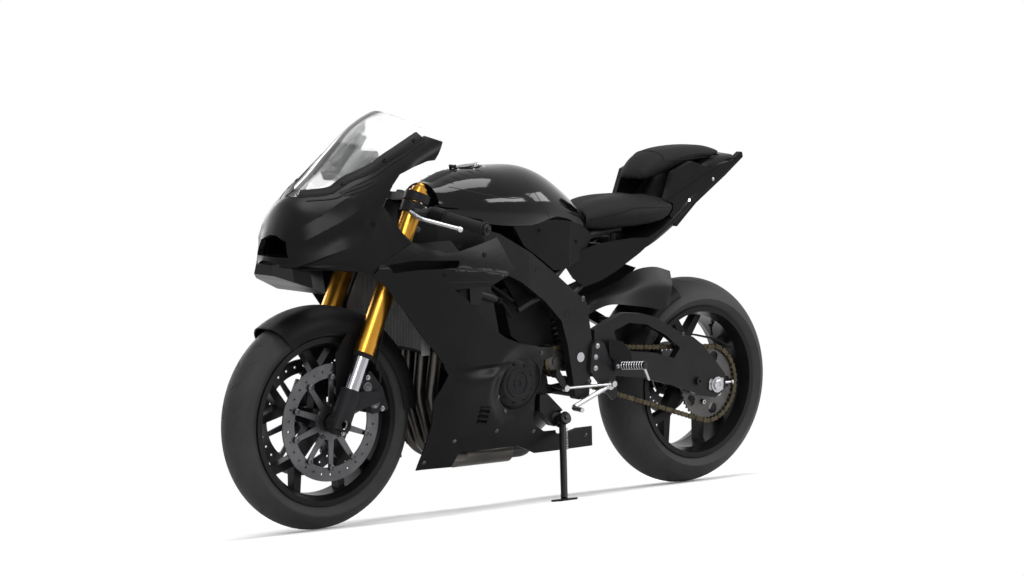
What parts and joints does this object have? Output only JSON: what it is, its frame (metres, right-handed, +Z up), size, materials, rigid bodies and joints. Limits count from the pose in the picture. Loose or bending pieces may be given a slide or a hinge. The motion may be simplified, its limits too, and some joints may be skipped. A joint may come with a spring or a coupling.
{
  "type": "sport bike",
  "caption": "Fully faired track sport motorcycle, leaning on its side stand; its steering, wheels, side stand and fuel cap move.",
  "frame": {"origin": "on the ground under the middle of the parked machine's bounding box", "axes": "+X forward along the machine, +Y to the rider's left, +Z up; the machine leans towards +Y on its side stand"},
  "size_m": [1.9899, 0.6942, 1.1172],
  "materials": {
    "tyre_rubber": "matt",
    "black_wheel": "satin",
    "disc_steel": "drilled, brushed",
    "sprocket_steel": "satin",
    "gold_anodised": "anodised",
    "polished_tube": "polished",
    "dark_casting": "cast, painted",
    "silver_lever": "satin",
    "black_rubber": "moulded",
    "black_plastic": "moulded",
    "reservoir": "translucent amber",
    "black_frame": "satin",
    "footrest_alloy": "satin",
    "radiator_core": "finned",
    "header_steel": "heat tinted",
    "silencer_steel": "satin",
    "shock_metal": "satin",
    "chain_brass": "oiled",
    "gloss_paint": "gloss",
    "seat_cover": "matt grained",
    "satin_panel": "satin",
    "clear_screen": "clear"
  },
  "bodies": {
    "chassis": {"main_frame": "black_frame", "engine": "dark_casting", "generator_cover": "dark_casting", "clutch_cover": "dark_casting", "radiator": "radiator_core", "exhaust_headers": "header_steel", "silencer": "silencer_steel", "swingarm": "black_frame", "swingarm_pivot": "polished_tube", "rear_axle": "polished_tube", "rear_caliper": "dark_casting", "chain_guard": "black_plastic", "rear_shock": "shock_metal", "rear_hugger": "black_plastic", "chain": "chain_brass", "front_sprocket": "sprocket_steel", "fuel_tank": "gloss_paint", "tank_side_covers": "black_plastic", "rider_seat": "seat_cover", "pillion_pad": "seat_cover", "tail_cowl": "satin_panel", "rear_subframe": "black_frame", "upper_cowl": "satin_panel", "chin_panel": "satin_panel", "screen": "clear_screen", "instrument_panel": "black_plastic", "cowl_stay": "black_plastic", "side_cowl_left": "satin_panel", "side_cowl_right": "satin_panel", "belly_panels": "satin_panel", "footrests": "footrest_alloy", "gear_lever": "silver_lever", "brake_pedal": "silver_lever", "stand_bracket": "black_frame"},
    "steering": {"fork_feet": "dark_casting", "fork_inner_tubes": "polished_tube", "fork_outer_tubes": "gold_anodised", "front_axle": "polished_tube", "triple_clamps": "dark_casting", "clip_ons": "dark_casting", "grips": "black_rubber", "control_housings": "black_plastic", "lever_perches": "dark_casting", "levers": "silver_lever", "front_calipers": "dark_casting", "front_fender": "black_plastic", "brake_reservoir": "reservoir", "brake_hoses": "black_rubber"},
    "front_wheel": {"front_tyre": "tyre_rubber", "front_rim": "black_wheel", "front_disc_left": "disc_steel", "front_disc_right": "disc_steel"},
    "rear_wheel": {"rear_tyre": "tyre_rubber", "rear_rim": "black_wheel", "rear_disc": "disc_steel", "rear_sprocket": "sprocket_steel"},
    "side_stand": {"side_stand": "black_frame"},
    "fuel_cap": {"fuel_cap": "gloss_paint"}
  },
  "joints": [
    {"name": "steer", "type": "hinge", "parent": "chassis", "child": "steering", "pos_m": [0.42023, 0.01344, 0.86286], "axis": [-0.3904, 0.1677, 0.9052], "range_deg": [-27, 27]},
    {"name": "front_spin", "type": "hinge", "parent": "steering", "child": "front_wheel", "pos_m": [0.695, -0.0916, 0.29603], "axis": [-0.0001, 0.9833, -0.1822], "continuous": true},
    {"name": "rear_spin", "type": "hinge", "parent": "chassis", "child": "rear_wheel", "pos_m": [-0.68, -0.08886, 0.31134], "axis": [-0.0001, 0.9833, -0.1822], "continuous": true},
    {"name": "stand_swing", "type": "hinge", "parent": "chassis", "child": "side_stand", "pos_m": [-0.07503, 0.03294, 0.2275], "axis": [0.0001, 0.9646, 0.2638], "range_deg": [0, 110]},
    {"name": "cap_lid", "type": "hinge", "parent": "chassis", "child": "fuel_cap", "pos_m": [0.23145, 0.03202, 0.96319], "axis": [-0.0001, 0.9833, -0.1822], "range_deg": [0, 95]}
  ]
}
